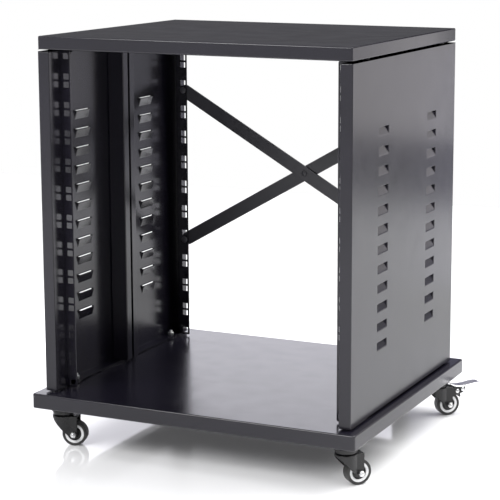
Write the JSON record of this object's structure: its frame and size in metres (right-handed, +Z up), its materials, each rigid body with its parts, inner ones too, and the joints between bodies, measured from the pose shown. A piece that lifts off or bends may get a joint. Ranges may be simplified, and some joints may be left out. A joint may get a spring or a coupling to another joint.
{
  "type": "equipment rack",
  "caption": "Open-frame 19-inch equipment rack with louvred side panels, square-hole rails front and rear, a crossed rear brace and swivel casters, the rear ones with foot brakes.",
  "frame": {"origin": "on the floor, under the middle of the whole object's box", "axes": "+Z up, +Y towards the rear, where the crossed brace is, +X to the right seen from the front"},
  "size_m": [0.6112, 0.5012, 0.655],
  "materials": {
    "powder_coat": "semi-gloss black powder coat",
    "brace_coat": "satin black powder coat",
    "caster_black": "semi-gloss black paint on pressed steel",
    "zinc": "bright zinc plate",
    "chrome": "polished chrome",
    "hub_silver": "light silver-grey moulding",
    "tyre_rubber": "matt black rubber"
  },
  "bodies": {
    "cabinet": {"top_panel": "powder_coat", "base_tray": "powder_coat", "base_bar_front": "powder_coat", "base_bar_rear": "powder_coat", "side_panel_left": "powder_coat", "side_panel_right": "powder_coat", "side_stiffener_left": "powder_coat", "side_stiffener_right": "powder_coat", "rack_rail_front_left": "powder_coat", "rack_rail_front_right": "powder_coat", "rack_rail_rear_left": "powder_coat", "rack_rail_rear_right": "powder_coat", "brace_bar_falling": "brace_coat", "brace_bar_rising": "brace_coat", "brace_rivet": "brace_coat", "brace_bolt_upper_left": "brace_coat", "brace_bolt_lower_right": "brace_coat", "brace_bolt_upper_right": "brace_coat", "brace_bolt_lower_left": "brace_coat", "base_bolt_front_left": "zinc", "top_bolt_front_left": "powder_coat", "base_bolt_rear_left": "zinc", "top_bolt_rear_left": "powder_coat", "base_bolt_front_right": "zinc", "top_bolt_front_right": "powder_coat", "base_bolt_rear_right": "zinc", "top_bolt_rear_right": "powder_coat", "caster_plate_front_left": "caster_black", "kingpin_front_left": "zinc", "caster_plate_front_right": "caster_black", "kingpin_front_right": "zinc", "caster_plate_rear_left": "caster_black", "kingpin_rear_left": "zinc", "caster_plate_rear_right": "caster_black", "kingpin_rear_right": "zinc"},
    "swivel_front_left": {"fork_front_left": "caster_black", "axle_bolt_front_left": "zinc"},
    "wheel_front_left": {"hub_front_left": "hub_silver", "tyre_front_left": "tyre_rubber"},
    "swivel_front_right": {"fork_front_right": "caster_black", "axle_bolt_front_right": "zinc"},
    "wheel_front_right": {"hub_front_right": "hub_silver", "tyre_front_right": "tyre_rubber"},
    "swivel_rear_left": {"fork_rear_left": "caster_black", "axle_bolt_rear_left": "zinc", "brake_pivot_rear_left": "zinc"},
    "wheel_rear_left": {"hub_rear_left": "hub_silver", "tyre_rear_left": "tyre_rubber"},
    "brake_rear_left": {"brake_lever_rear_left": "chrome", "brake_bracket_rear_left": "caster_black", "brake_rivet_rear_left": "zinc"},
    "swivel_rear_right": {"fork_rear_right": "caster_black", "axle_bolt_rear_right": "zinc", "brake_pivot_rear_right": "zinc"},
    "wheel_rear_right": {"hub_rear_right": "hub_silver", "tyre_rear_right": "tyre_rubber"},
    "brake_rear_right": {"brake_lever_rear_right": "chrome", "brake_bracket_rear_right": "caster_black", "brake_rivet_rear_right": "zinc"}
  },
  "joints": [
    {"name": "swivel_turn_front_left", "type": "hinge", "parent": "cabinet", "child": "swivel_front_left", "pos_m": [-0.245, -0.20763, 0.0505], "axis": [0, 0, 1], "continuous": true},
    {"name": "wheel_spin_front_left", "type": "hinge", "parent": "swivel_front_left", "child": "wheel_front_left", "pos_m": [-0.22733, -0.20216, 0.02], "axis": [-0.2957, 0.9553, 0], "continuous": true},
    {"name": "swivel_turn_front_right", "type": "hinge", "parent": "cabinet", "child": "swivel_front_right", "pos_m": [0.245, -0.20763, 0.0505], "axis": [0, 0, 1], "continuous": true},
    {"name": "wheel_spin_front_right", "type": "hinge", "parent": "swivel_front_right", "child": "wheel_front_right", "pos_m": [0.25738, -0.19389, 0.02], "axis": [-0.7431, 0.6691, 0], "continuous": true},
    {"name": "swivel_turn_rear_left", "type": "hinge", "parent": "cabinet", "child": "swivel_rear_left", "pos_m": [-0.245, 0.19237, 0.0505], "axis": [0, 0, 1], "continuous": true},
    {"name": "wheel_spin_rear_left", "type": "hinge", "parent": "swivel_rear_left", "child": "wheel_rear_left", "pos_m": [-0.25842, 0.2051, 0.02], "axis": [-0.6884, -0.7254, 0], "continuous": true},
    {"name": "brake_press_rear_left", "type": "hinge", "parent": "swivel_rear_left", "child": "brake_rear_left", "pos_m": [-0.26843, 0.2146, 0.0425], "axis": [-0.6884, -0.7254, 0], "range_deg": [0, 11]},
    {"name": "swivel_turn_rear_right", "type": "hinge", "parent": "cabinet", "child": "swivel_rear_right", "pos_m": [0.245, 0.19237, 0.0505], "axis": [0, 0, 1], "continuous": true},
    {"name": "wheel_spin_rear_right", "type": "hinge", "parent": "swivel_rear_right", "child": "wheel_rear_right", "pos_m": [0.25842, 0.2051, 0.02], "axis": [-0.6884, 0.7254, 0], "continuous": true},
    {"name": "brake_press_rear_right", "type": "hinge", "parent": "swivel_rear_right", "child": "brake_rear_right", "pos_m": [0.26843, 0.2146, 0.0425], "axis": [-0.6884, 0.7254, 0], "range_deg": [0, 11]}
  ]
}
